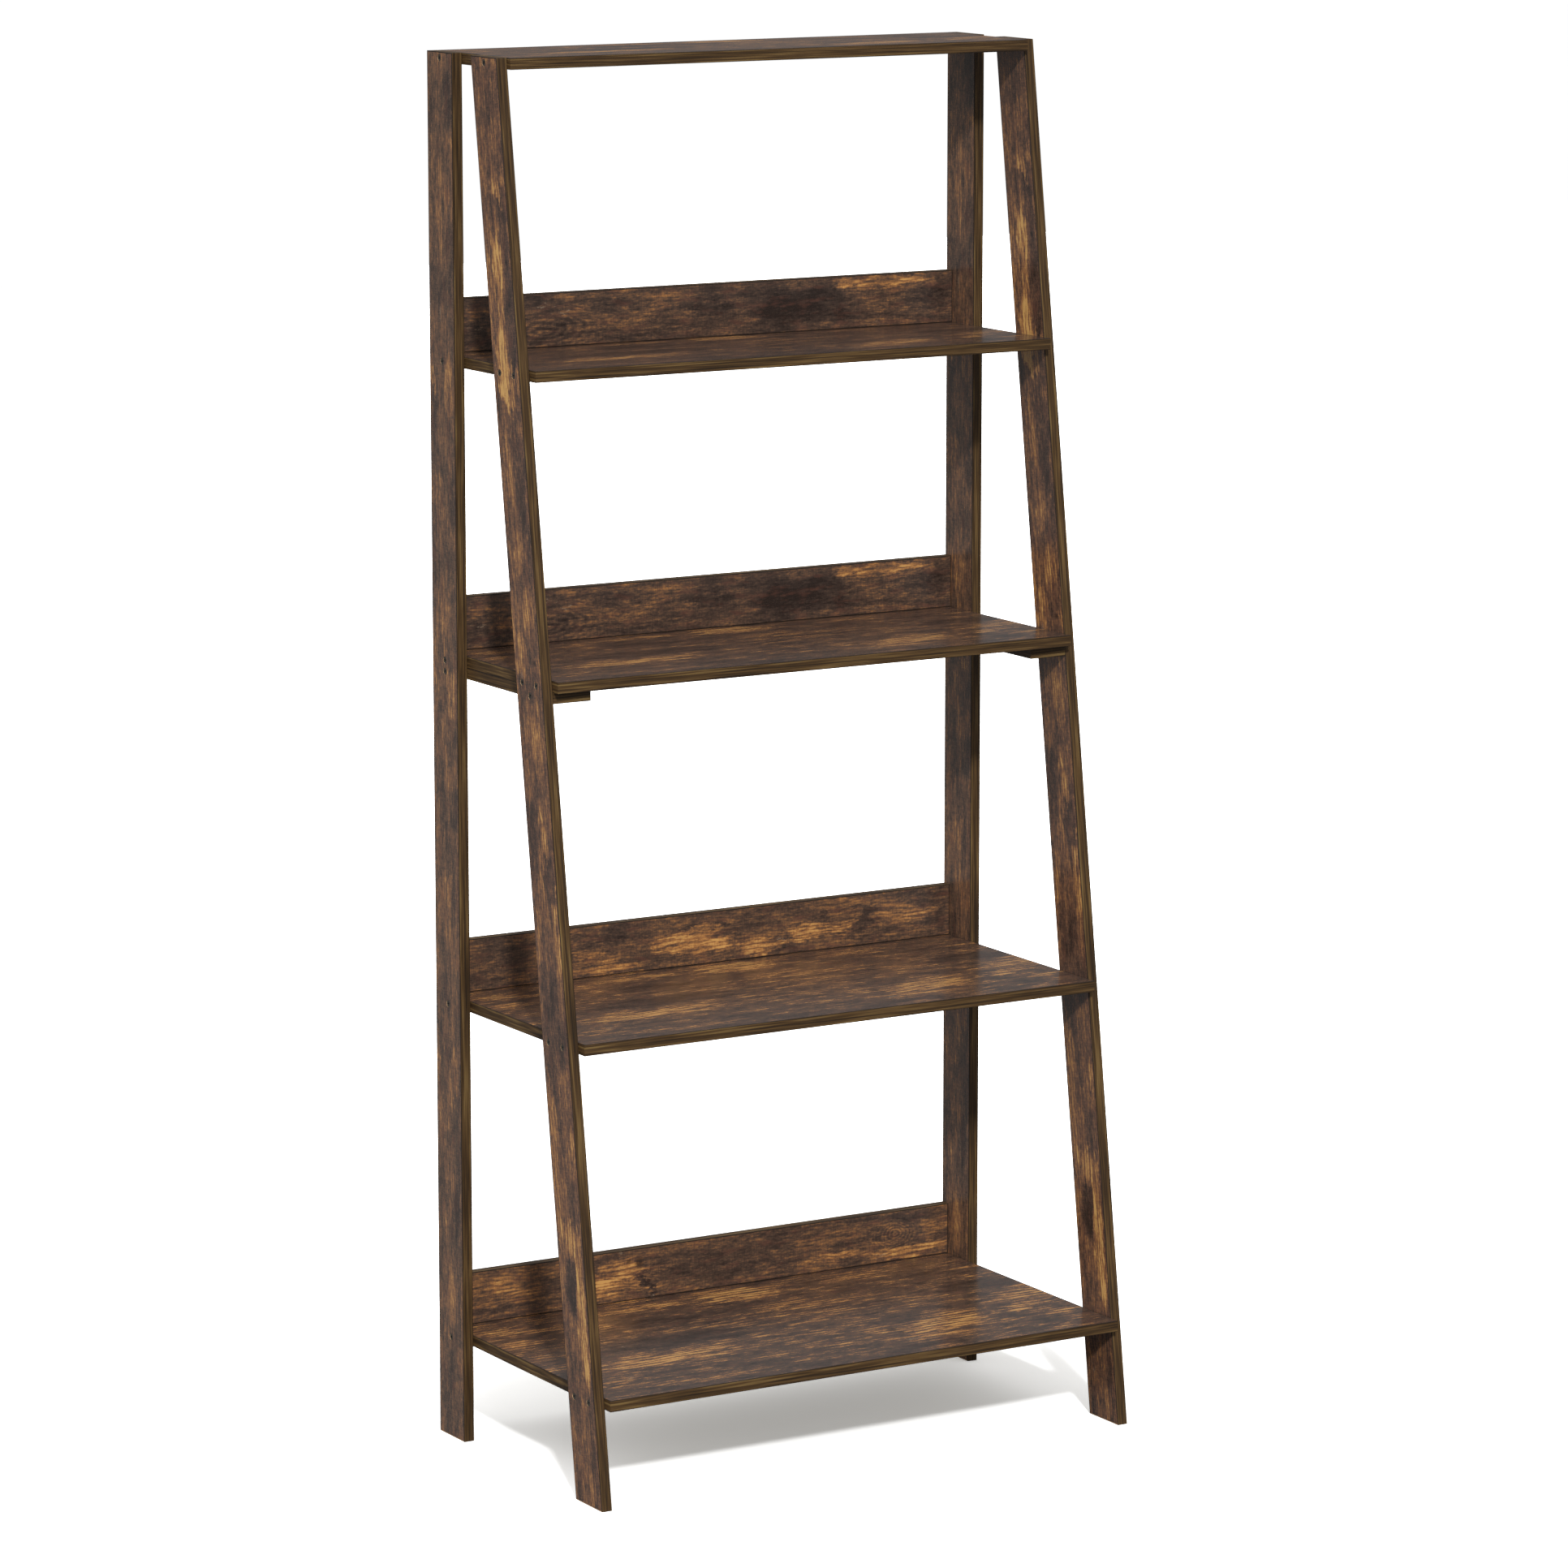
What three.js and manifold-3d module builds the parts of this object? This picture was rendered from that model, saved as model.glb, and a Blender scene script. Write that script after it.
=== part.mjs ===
// A five-tier ladder shelf of melamine-faced board: two side frames, each a vertical rear
// upright and a sloping front leg, with shelves of growing depth screwed between them.
// Millimetres, +Z up. The front faces -Y, and the origin is on the floor at the middle of
// the footprint. Left is -X.
import * as THREE from "three";
import { mergeVertices } from "three/addons/utils/BufferGeometryUtils.js";
import Module from "manifold-3d";

const wasm = await Module();
wasm.setup();

// Overall sizes
const overallWidth = 650;
const footDepth = 358; // from the back plane to the front of a leg's foot
const topDepth = 152; // from the back plane to the front of a leg at the very top

// Boards
const boardThickness = 12;
const stripWidth = 55; // uprights and legs, measured square to their length
const railHeight = 57;
const cleatWidth = 44;

// Shelves, from the floor up. rise is from the shelf below, or the floor, to this one's top
// face. overhang is how far the shelf stands out in front of the leg at its top face.
const shelves = [
  { name: "bottom_shelf", rise: 116, overhang: 13.5, legScrews: 2, rail: "bottom_back_rail" },
  { name: "lower_shelf", rise: 365, overhang: 13.5, legScrews: 2, rail: "lower_back_rail" },
  { name: "middle_shelf", rise: 369, overhang: 13.5, legScrews: 2, rail: "middle_back_rail" },
  { name: "upper_shelf", rise: 315, overhang: 13.5, legScrews: 2, rail: "upper_back_rail" },
  { name: "top_shelf", rise: 315, overhang: 8.5, legScrews: 1, rail: null },
];
const cleatedShelf = "middle_shelf";

// Countersunk wood screws
const screwLength = 35;
const screwRadius = 1.75;
const screwPoint = 5; // length of the tapered tip
const headRadius = 3.5;
const headDepth = 2.6;
const headLand = 0.4; // straight rim above the head's cone
const driveRadius = 1.6;
const driveDepth = 1.5;
const headSink = 0.2; // the head's top below the leg's face
const screwSpread = 30; // between the two screws that share one joint

// Beech dowels in the ends of the back rails
const dowelRadius = 3;
const dowelLength = 24;
const dowelInUpright = 8;
const dowelChamfer = 0.8;

// Clearances
const holeClearance = 0.3; // round every screw and dowel
const roundSides = 12;

// Derived places
const overallHeight = shelves.reduce((sum, shelf) => sum + shelf.rise, 0);
const slope = Math.atan((footDepth - topDepth) / overallHeight);
const legRun = stripWidth / Math.cos(slope); // the leg's width measured level
const innerX = overallWidth / 2 - boardThickness;
const yAt = (depth) => footDepth / 2 - depth;
const legFront = (z) => footDepth - Math.tan(slope) * z;
const legMiddle = (z) => legFront(z) - legRun / 2;

let floorToTop = 0;
for (const shelf of shelves) {
  floorToTop += shelf.rise;
  shelf.top = floorToTop;
  shelf.middle = floorToTop - boardThickness / 2;
  shelf.depth = legFront(floorToTop) + shelf.overhang;
}
const cleatTop = shelves.find((shelf) => shelf.name === cleatedShelf).top - boardThickness;
const cleatMiddle = cleatTop - boardThickness / 2;
const cleatDepth = legFront(cleatMiddle);

const sides = [
  { name: "left", sign: -1 },
  { name: "right", sign: 1 },
];

// Finishes
const board = () =>
  new THREE.MeshStandardMaterial({ color: 0x5a4335, roughness: 0.45, metalness: 0 });
const steel = () =>
  new THREE.MeshStandardMaterial({ color: 0x4a4643, roughness: 0.4, metalness: 0.9 });
const beech = () =>
  new THREE.MeshStandardMaterial({ color: 0xcfae82, roughness: 0.75, metalness: 0 });

// Solids from three.js geometry, and back
function solidOf(geometry) {
  const bare = new THREE.BufferGeometry();
  bare.setAttribute("position", geometry.getAttribute("position"));
  bare.setIndex(geometry.index);
  const merged = mergeVertices(bare, 1e-4);
  return new wasm.Manifold(
    new wasm.Mesh({
      numProp: 3,
      vertProperties: new Float32Array(merged.getAttribute("position").array),
      triVerts: new Uint32Array(merged.index.array),
    }),
  );
}

function geometryOf(solid) {
  const mesh = solid.getMesh();
  const indexed = new THREE.BufferGeometry();
  indexed.setAttribute("position", new THREE.BufferAttribute(mesh.vertProperties, 3));
  indexed.setIndex(new THREE.BufferAttribute(mesh.triVerts, 1));
  const flat = indexed.toNonIndexed();
  flat.computeVertexNormals();
  return flat;
}

function drilled(geometry, cutters) {
  if (cutters.length === 0) return geometry;
  const cut = cutters.reduce((solid, cutter) => solid.subtract(solidOf(cutter)), solidOf(geometry));
  return geometryOf(cut);
}

// A board with its outline in the YZ plane, extruded along X from x0 to x1.
function sideBoard(outline, x0, x1) {
  const shape = new THREE.Shape(outline.map(([y, z]) => new THREE.Vector2(y, z)));
  const geometry = new THREE.ExtrudeGeometry(shape, { depth: x1 - x0, bevelEnabled: false });
  const yzx = new THREE.Matrix4().makeBasis(
    new THREE.Vector3(0, 1, 0),
    new THREE.Vector3(0, 0, 1),
    new THREE.Vector3(1, 0, 0),
  );
  return geometry.applyMatrix4(yzx).translate(x0, 0, 0);
}

// A square-cut board between two corners, given as x, depth from the back plane, and z.
function flatBoard([x0, depth0, z0], [x1, depth1, z1]) {
  const geometry = new THREE.BoxGeometry(x1 - x0, depth1 - depth0, z1 - z0);
  return geometry.translate((x0 + x1) / 2, yAt((depth0 + depth1) / 2), (z0 + z1) / 2);
}

// A round piece from [radius, height] pairs, lowest first, turned to point along X with its
// upper end outwards on the given side.
function turned(profile, sign) {
  const points = profile.map(([radius, height]) => new THREE.Vector2(radius, height));
  return new THREE.LatheGeometry(points, roundSides).rotateZ((-sign * Math.PI) / 2);
}

// The top of the screw's head is at height 0, and its point at minus its length.
function screwBlank(sign) {
  return turned(
    [
      [0, -screwLength],
      [screwRadius, screwPoint - screwLength],
      [screwRadius, -headDepth],
      [headRadius, -headLand],
      [headRadius, 0],
      [driveRadius, 0],
      [0, -driveDepth],
    ],
    sign,
  );
}

// The hole that a screw needs: a countersink open to the leg's face, and a bore for the shank.
function screwHole(sign) {
  const bore = screwRadius + holeClearance;
  const mouth = headRadius + holeClearance;
  return turned(
    [
      [0, -screwLength - holeClearance],
      [bore, -screwLength - holeClearance],
      [bore, -headDepth - holeClearance],
      [mouth, -headLand - holeClearance],
      [mouth, headDepth],
      [0, headDepth],
    ],
    sign,
  );
}

// Height 0 is the upright's inner face, with the part in the upright above it.
function dowelBlank(sign) {
  const inRail = dowelInUpright - dowelLength;
  return turned(
    [
      [0, inRail],
      [dowelRadius - dowelChamfer, inRail],
      [dowelRadius, inRail + dowelChamfer],
      [dowelRadius, dowelInUpright - dowelChamfer],
      [dowelRadius - dowelChamfer, dowelInUpright],
      [0, dowelInUpright],
    ],
    sign,
  );
}

function dowelHole(sign) {
  const bore = dowelRadius + holeClearance;
  const inRail = dowelInUpright - dowelLength - holeClearance;
  return turned(
    [
      [0, inRail],
      [bore, inRail],
      [bore, dowelInUpright + holeClearance],
      [0, dowelInUpright + holeClearance],
    ],
    sign,
  );
}

// Every fastener: what it goes through, what it goes into, and where it sits.
const fasteners = [];

function addScrew(side, label, through, into, depth, z) {
  const x = side.sign * (overallWidth / 2 - headSink);
  fasteners.push({
    name: `${side.name}_${label}_screw`,
    pieces: [`${side.name}_${through}`, into],
    blank: screwBlank(side.sign),
    hole: screwHole(side.sign),
    place: new THREE.Vector3(x, yAt(depth), z),
    material: steel(),
  });
}

function addDowel(side, rail, z) {
  fasteners.push({
    name: `${side.name}_${rail}_dowel`,
    pieces: [`${side.name}_rear_upright`, rail],
    blank: dowelBlank(side.sign),
    hole: dowelHole(side.sign),
    place: new THREE.Vector3(side.sign * innerX, yAt(boardThickness / 2), z),
    material: beech(),
  });
}

for (const side of sides) {
  for (const shelf of shelves) {
    const z = shelf.middle;
    addScrew(side, `${shelf.name}_rear`, "rear_upright", shelf.name, stripWidth / 2, z);
    if (shelf.legScrews === 1) {
      addScrew(side, `${shelf.name}_front`, "front_leg", shelf.name, legMiddle(z), z);
    } else {
      const half = screwSpread / 2;
      addScrew(side, `${shelf.name}_aft`, "front_leg", shelf.name, legMiddle(z) - half, z);
      addScrew(side, `${shelf.name}_fore`, "front_leg", shelf.name, legMiddle(z) + half, z);
    }
    if (shelf.rail) addDowel(side, shelf.rail, shelf.top + railHeight / 2);
  }
  const cleat = `${side.name}_cleat`;
  addScrew(side, "cleat_rear", "rear_upright", cleat, stripWidth / 2, cleatMiddle);
  addScrew(side, "cleat_front", "front_leg", cleat, legMiddle(cleatMiddle), cleatMiddle);
}

// The holes that fasteners need in the named piece.
function holesIn(name) {
  return fasteners
    .filter((fastener) => fastener.pieces.includes(name))
    .map(({ hole, place }) => hole.clone().translate(place.x, place.y, place.z));
}

function meshOf(name, geometry, material) {
  const mesh = new THREE.Mesh(geometry, material);
  mesh.name = name;
  return mesh;
}

function boardMesh(name, geometry) {
  return meshOf(name, drilled(geometry, holesIn(name)), board());
}

// One side frame: the vertical upright at the back, and the leg sloping out from it, both cut
// level at the floor and at the top.
function sideFrame(side) {
  const frame = new THREE.Group();
  const faces = [side.sign * innerX, (side.sign * overallWidth) / 2].sort((a, b) => a - b);
  const upright = [
    [yAt(stripWidth), 0],
    [yAt(0), 0],
    [yAt(0), overallHeight],
    [yAt(stripWidth), overallHeight],
  ];
  const leg = [
    [yAt(footDepth), 0],
    [yAt(footDepth - legRun), 0],
    [yAt(topDepth - legRun), overallHeight],
    [yAt(topDepth), overallHeight],
  ];
  frame.add(boardMesh(`${side.name}_rear_upright`, sideBoard(upright, ...faces)));
  frame.add(boardMesh(`${side.name}_front_leg`, sideBoard(leg, ...faces)));
  return frame;
}

// One shelf, and the rail that stands on its back edge.
function tier(shelf) {
  const group = new THREE.Group();
  const low = [-innerX, 0, shelf.top - boardThickness];
  const high = [innerX, shelf.depth, shelf.top];
  group.add(boardMesh(shelf.name, flatBoard(low, high)));
  if (shelf.rail) {
    const railLow = [-innerX, 0, shelf.top];
    const railHigh = [innerX, boardThickness, shelf.top + railHeight];
    group.add(boardMesh(shelf.rail, flatBoard(railLow, railHigh)));
  }
  return group;
}

// The cleat along one end of the middle shelf, flat under it and against the side frame.
function cleatMesh(side) {
  const inner = side.sign * (innerX - cleatWidth);
  const ends = [inner, side.sign * innerX].sort((a, b) => a - b);
  const low = [ends[0], 0, cleatTop - boardThickness];
  const high = [ends[1], cleatDepth, cleatTop];
  return boardMesh(`${side.name}_cleat`, flatBoard(low, high));
}

const ladderShelf = new THREE.Group();
for (const side of sides) {
  ladderShelf.add(sideFrame(side));
  ladderShelf.add(cleatMesh(side));
}
for (const shelf of shelves) ladderShelf.add(tier(shelf));
for (const { name, blank, place, material } of fasteners) {
  const mesh = meshOf(name, blank, material);
  mesh.position.copy(place);
  ladderShelf.add(mesh);
}

export default ladderShelf;
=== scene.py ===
import math
from math import radians

import bmesh
import bpy
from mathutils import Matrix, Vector


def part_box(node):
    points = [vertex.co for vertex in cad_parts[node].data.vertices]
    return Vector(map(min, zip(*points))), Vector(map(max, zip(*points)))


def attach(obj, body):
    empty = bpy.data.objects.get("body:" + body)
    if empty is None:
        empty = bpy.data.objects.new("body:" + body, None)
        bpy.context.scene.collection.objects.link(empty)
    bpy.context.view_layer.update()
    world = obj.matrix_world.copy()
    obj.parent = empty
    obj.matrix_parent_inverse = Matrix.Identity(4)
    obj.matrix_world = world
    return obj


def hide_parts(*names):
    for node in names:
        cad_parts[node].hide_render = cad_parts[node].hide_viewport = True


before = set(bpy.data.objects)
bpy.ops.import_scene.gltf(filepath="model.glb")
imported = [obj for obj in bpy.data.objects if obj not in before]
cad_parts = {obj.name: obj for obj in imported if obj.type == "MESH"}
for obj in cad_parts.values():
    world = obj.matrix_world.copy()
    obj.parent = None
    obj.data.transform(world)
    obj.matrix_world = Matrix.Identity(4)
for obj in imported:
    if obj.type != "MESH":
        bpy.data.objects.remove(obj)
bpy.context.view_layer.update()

# ---------------------------------------------------------------- the studio
# A long lens from the front left, a little above the top shelf, as furniture is shot for a
# catalogue. The floor and the surroundings are plain white.
camera = bpy.data.objects.new("camera", bpy.data.cameras.new("camera"))
camera.data.lens = 144.7
camera.data.clip_end = 40
camera.location = (-3.363, -5.654, 1.877)
camera.rotation_euler = (radians(90 - 10.1), 0, radians(-30.74))
bpy.context.scene.collection.objects.link(camera)
bpy.context.scene.camera = camera
bpy.context.scene.view_settings.view_transform = "Standard"


def linear(hex_colour):
    """A six-digit sRGB hex colour as linear red, green, blue and alpha."""
    parts = [int(hex_colour[i:i + 2], 16) / 255 for i in (1, 3, 5)]
    return [c / 12.92 if c <= 0.04045 else ((c + 0.055) / 1.055) ** 2.4 for c in parts] + [1]


def add(tree, kind, inputs=None, stops=(), **settings):
    """Adds a node with its settings and its inputs, each a value, a socket or a node.

    A node given as an input stands for its first output. stops are a ramp's colours.
    """
    made = tree.nodes.new(kind)
    for key, value in settings.items():
        setattr(made, key, value)
    for socket, value in (inputs or {}).items():
        if isinstance(value, bpy.types.Node):
            value = value.outputs[0]
        if isinstance(value, bpy.types.NodeSocket):
            tree.links.new(value, made.inputs[socket])
        else:
            made.inputs[socket].default_value = value
    for number, (position, colour) in enumerate(stops):
        ramp = made.color_ramp.elements
        stop = ramp[number] if number < 2 else ramp.new(position)
        stop.position = position
        stop.color = linear(colour)
    return made


def start_material(name):
    """An empty node material and its tree."""
    material = bpy.data.materials.new(name)
    material.use_nodes = True
    material.node_tree.nodes.clear()
    return material, material.node_tree


# The floor is overexposed to plain white, except in an oval round the feet, where the shadow
# of the lowest shelf shows under a thin warm veil of light. The shelf itself sees a grey
# floor, which keeps its lower faces from washing out.
OVAL_CENTRE = (0.03, 0.06, 0)
OVAL_REACH = (0.62, 0.46, 1)
OVAL_RIM = 0.4
FLOOR_REACH = 12
painted_floor, tree = start_material("matt_white_studio_floor")
path = add(tree, "ShaderNodeLightPath")
where = add(tree, "ShaderNodeTexCoord").outputs["Object"]
round_feet = add(tree, "ShaderNodeMapping",
                 {"Vector": where, "Location": OVAL_CENTRE, "Scale": OVAL_REACH}, vector_type="TEXTURE")
cone = add(tree, "ShaderNodeTexGradient", {"Vector": round_feet}, gradient_type="SPHERICAL")
albedo = add(tree, "ShaderNodeMapRange",
             {"Value": cone.outputs["Fac"], "From Max": OVAL_RIM, "To Min": 1.9, "To Max": 1.0})
veil = add(tree, "ShaderNodeMapRange",
           {"Value": cone.outputs["Fac"], "From Max": OVAL_RIM, "To Max": 0.30})
bright = add(tree, "ShaderNodeBsdfDiffuse", {"Color": albedo})
glow = add(tree, "ShaderNodeEmission", {"Color": (1, 0.98, 0.92, 1), "Strength": veil})
exposed = add(tree, "ShaderNodeAddShader", {0: bright, 1: glow})
plain = add(tree, "ShaderNodeBsdfDiffuse", {"Color": (0.16, 0.16, 0.16, 1)})
mixed = add(tree, "ShaderNodeMixShader", {0: path.outputs["Is Camera Ray"], 1: plain, 2: exposed})
add(tree, "ShaderNodeOutputMaterial", {"Surface": mixed})
floor_mesh = bpy.data.meshes.new("floor")
corners = [(x * FLOOR_REACH, y * FLOOR_REACH, 0) for x, y in ((-1, -1), (1, -1), (1, 1), (-1, 1))]
floor_mesh.from_pydata(corners, [], [(0, 1, 2, 3)])
floor_mesh.materials.append(painted_floor)
floor = bpy.data.objects.new("floor", floor_mesh)
bpy.context.scene.collection.objects.link(floor)

# One lamp from the front left and above, with slightly softer shadows than the sun's.
KEY_DIRECTION = (-0.30, -0.75, 0.59)
key = bpy.data.objects.new("key_light", bpy.data.lights.new("key_light", "SUN"))
key.data.energy = 3.2
key.data.angle = radians(4)
key.rotation_euler = Vector(KEY_DIRECTION).to_track_quat("Z", "Y").to_euler()
bpy.context.scene.collection.objects.link(key)

# The camera sees plain white all round. What lights the shelf comes from overhead and from the
# front left, where it fades towards the horizon. Behind the shelf it is dim.
FRONT_DIRECTION = (-0.92, -0.40, 0)
world = bpy.data.worlds.new("white_studio")
bpy.context.scene.world = world
world.use_nodes = True
sky = world.node_tree
sky.nodes.clear()
direction = add(sky, "ShaderNodeTexCoord").outputs["Generated"]
height = add(sky, "ShaderNodeSeparateXYZ", {0: direction})
above = add(sky, "ShaderNodeMath", {0: height.outputs["Z"], 1: 0}, operation="MAXIMUM")
steep = add(sky, "ShaderNodeMath", {0: above, 1: 2.0}, operation="POWER")
overhead = add(sky, "ShaderNodeMapRange", {"Value": steep, "To Min": 0.12, "To Max": 1.2})
frontal = add(sky, "ShaderNodeVectorMath", {0: direction, 1: FRONT_DIRECTION}, operation="DOT_PRODUCT")
front = add(sky, "ShaderNodeMapRange",
            {"Value": frontal.outputs["Value"], "From Min": -0.1, "To Max": 1.5})
rising = add(sky, "ShaderNodeMapRange", {"Value": above, "From Max": 0.4, "To Min": 0.2, "To Max": 1.0})
raised = add(sky, "ShaderNodeMath", {0: front, 1: rising}, operation="MULTIPLY")
level = add(sky, "ShaderNodeMath", {0: overhead, 1: raised}, operation="ADD")
lit = add(sky, "ShaderNodeBackground", {"Color": (1, 1, 1, 1), "Strength": level})
seen = add(sky, "ShaderNodeBackground", {"Color": (1, 1, 1, 1), "Strength": 1.02})
path = add(sky, "ShaderNodeLightPath")
mixed = add(sky, "ShaderNodeMixShader", {0: path.outputs["Is Camera Ray"], 1: lit, 2: seen})
add(sky, "ShaderNodeOutputWorld", {"Surface": mixed})

# ---------------------------------------------------------------- fixing holes
# Countersunk holes for the screws and blind bores for the dowels, drilled on a point-to-point
# machine. They are cut from every board before the boards are put together.
MM = 0.001
SCREW_NAMES = [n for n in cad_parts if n.endswith("_screw")]
DOWEL_NAMES = [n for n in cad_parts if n.endswith("_dowel")]
SCREW_LENGTH = 35 * MM
HEAD_R = 3.5 * MM
HEAD_DEPTH = 2.6 * MM
HEAD_LAND = 0.4 * MM
SHANK_R = 1.75 * MM
DOWEL_R = 3 * MM
HOLE_GAP = 0.25 * MM
DRILL_OVERRUN = 2 * MM
DRILL_SIDES = 24
CHIP = 1.8 * MM


def lathe(profile, sides):
    """A closed solid of revolution about Z, from (radius, height) pairs with the lowest first."""
    bm = bmesh.new()
    turn = [2 * math.pi * i / sides for i in range(sides)]
    rings = []
    for radius, height in profile:
        if radius == 0:
            rings.append([bm.verts.new((0, 0, height))])
            continue
        rings.append([bm.verts.new((radius * math.cos(a), radius * math.sin(a), height)) for a in turn])
    for low, high in zip(rings, rings[1:]):
        for i in range(sides):
            j = (i + 1) % sides
            corners = [low[i % len(low)], low[j % len(low)], high[j % len(high)], high[i % len(high)]]
            # A ring on the axis is one point, so its repeated corner is dropped.
            bm.faces.new(list(dict.fromkeys(corners)))
    mesh = bpy.data.meshes.new("lathe")
    bm.to_mesh(mesh)
    bm.free()
    return mesh


def place_tree(name):
    """Geometry Nodes that set a fixing on every point, along the point's outward direction."""
    tree = bpy.data.node_groups.new(name, "GeometryNodeTree")
    for label, kind, way in (
        ("Geometry", "NodeSocketGeometry", "INPUT"),
        ("Fixing", "NodeSocketObject", "INPUT"),
        ("Spin", "NodeSocketFloat", "INPUT"),
        ("Seed", "NodeSocketInt", "INPUT"),
        ("Material", "NodeSocketMaterial", "INPUT"),
        ("Geometry", "NodeSocketGeometry", "OUTPUT"),
    ):
        tree.interface.new_socket(name=label, in_out=way, socket_type=kind)
    given = add(tree, "NodeGroupInput").outputs
    outward = add(tree, "GeometryNodeInputNamedAttribute", {"Name": "outward"}, data_type="FLOAT_VECTOR")
    aim = add(tree, "FunctionNodeAlignRotationToVector", {"Vector": outward}, axis="Z")
    # Sockets 3 and 1 are the random node's largest number in and its number out.
    spin = add(tree, "FunctionNodeRandomValue", {3: given["Spin"], "Seed": given["Seed"]},
               data_type="FLOAT")
    own_turn = add(tree, "FunctionNodeAxisAngleToRotation", {"Axis": (0, 0, 1), "Angle": spin.outputs[1]})
    turned = add(tree, "FunctionNodeRotateRotation", {"Rotation": aim, "Rotate By": own_turn},
                 rotation_space="LOCAL")
    fixing = add(tree, "GeometryNodeObjectInfo", {"Object": given["Fixing"]}).outputs["Geometry"]
    points = add(tree, "GeometryNodeInstanceOnPoints",
                 {"Points": given["Geometry"], "Instance": fixing, "Rotation": turned})
    real = add(tree, "GeometryNodeRealizeInstances", {"Geometry": points})
    done = add(tree, "GeometryNodeSetMaterial", {"Geometry": real, "Material": given["Material"]})
    add(tree, "NodeGroupOutput", {"Geometry": done})
    return tree


PLACE_FIXINGS = place_tree("place_fixings")


def placed(name, fixing_mesh, places, material, spin=0.0, seed=0):
    """One plain mesh object with the fixing set at every (point, outward direction)."""
    pattern = bpy.data.objects.new(name + "_pattern", fixing_mesh)
    bpy.context.scene.collection.objects.link(pattern)
    points = bpy.data.meshes.new(name + "_points")
    points.from_pydata([point for point, _ in places], [], [])
    outward = points.attributes.new("outward", "FLOAT_VECTOR", "POINT")
    for item, (_, direction) in zip(outward.data, places):
        item.vector = direction
    holder = bpy.data.objects.new(name + "_holder", points)
    bpy.context.scene.collection.objects.link(holder)
    modifier = holder.modifiers.new("place", "NODES")
    modifier.node_group = PLACE_FIXINGS
    values = {"Fixing": pattern, "Spin": spin, "Seed": seed, "Material": material}
    for item in PLACE_FIXINGS.interface.items_tree:
        if item.in_out == "INPUT" and item.name in values:
            modifier[item.identifier] = values[item.name]
    bpy.context.view_layer.update()
    mesh = bpy.data.meshes.new_from_object(holder.evaluated_get(bpy.context.evaluated_depsgraph_get()))
    mesh.name = name
    holder.modifiers.clear()
    bpy.data.objects.remove(holder)
    bpy.data.objects.remove(pattern)
    made = bpy.data.objects.new(name, mesh)
    bpy.context.scene.collection.objects.link(made)
    return made


def screw_places():
    """The middle of each screw head's face, and the way it faces."""
    places = []
    for name in SCREW_NAMES:
        low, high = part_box(name)
        middle = (low + high) / 2
        side = 1 if middle.x > 0 else -1
        face = high.x if side > 0 else low.x
        places.append((Vector((face, middle.y, middle.z)), Vector((side, 0, 0))))
    return places


def dowel_places():
    """The middle of each dowel, and the way it points."""
    places = []
    for name in DOWEL_NAMES:
        low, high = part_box(name)
        middle = (low + high) / 2
        places.append((middle, Vector((1 if middle.x > 0 else -1, 0, 0))))
    return places


# Pressed wood chips about 2 mm across, pale and dry, seen only at the floor ends and in holes.
raw_board, tree = start_material("raw_particleboard_sawn")
where = add(tree, "ShaderNodeTexCoord").outputs["Object"]
chips = add(tree, "ShaderNodeTexVoronoi", {"Vector": where, "Scale": 1 / CHIP})
tone = add(tree, "ShaderNodeValToRGB", {"Fac": chips.outputs["Color"]},
           stops=[(0, "#7a5c3c"), (1, "#c7a377")])
shader = add(tree, "ShaderNodeBsdfPrincipled", {"Base Color": tone, "Roughness": 0.9})
add(tree, "ShaderNodeOutputMaterial", {"Surface": shader})

low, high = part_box(DOWEL_NAMES[0])
DOWEL_HALF = (high - low).x / 2
screw_hole = lathe([
    (0, -SCREW_LENGTH - HOLE_GAP),
    (SHANK_R + HOLE_GAP, -SCREW_LENGTH - HOLE_GAP),
    (SHANK_R + HOLE_GAP, -HEAD_DEPTH - HOLE_GAP),
    (HEAD_R + HOLE_GAP, -HEAD_LAND - HOLE_GAP),
    (HEAD_R + HOLE_GAP, DRILL_OVERRUN),
    (0, DRILL_OVERRUN),
], DRILL_SIDES)
dowel_hole = lathe([
    (0, -DOWEL_HALF - HOLE_GAP),
    (DOWEL_R + HOLE_GAP, -DOWEL_HALF - HOLE_GAP),
    (DOWEL_R + HOLE_GAP, DOWEL_HALF + HOLE_GAP),
    (0, DOWEL_HALF + HOLE_GAP),
], DRILL_SIDES)
drills = [
    placed("screw_drill", screw_hole, screw_places(), raw_board),
    placed("dowel_drill", dowel_hole, dowel_places(), raw_board),
]
for drill in drills:
    drill.hide_render = True

# ---------------------------------------------------------------- rear uprights
# Two vertical strips, 55 mm wide, level at both ends and screwed to the backs of the shelf ends.
# Like every board here they are 12 mm particleboard with printed melamine on both faces and a
# plastic edge band glued round, its corners scraped to a curve. They stand on raw ends.
BAND = 0.8 * MM
CORNER_R = 0.5 * MM
CORNER_STEPS = 3
GLUE_JOINT = 0.16 * MM
GLUE_JOINT_DEPTH = 0.12 * MM
# The order of a board's materials.
PRINT, EDGE, CORNER, RAW = 0, 1, 2, 3


def inset(outline, distance):
    """A convex, anticlockwise outline moved inwards by a distance."""
    moved = []
    count = len(outline)
    for i in range(count):
        before, here, after = outline[i - 1], outline[i], outline[(i + 1) % count]
        arriving = (here - before).normalized()
        leaving = (after - here).normalized()
        inward_before = Vector((-arriving.y, arriving.x))
        inward_after = Vector((-leaving.y, leaving.x))
        shared = 1 + inward_before.dot(inward_after)
        moved.append(here + (inward_before + inward_after) * distance / shared)
    return moved


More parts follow.
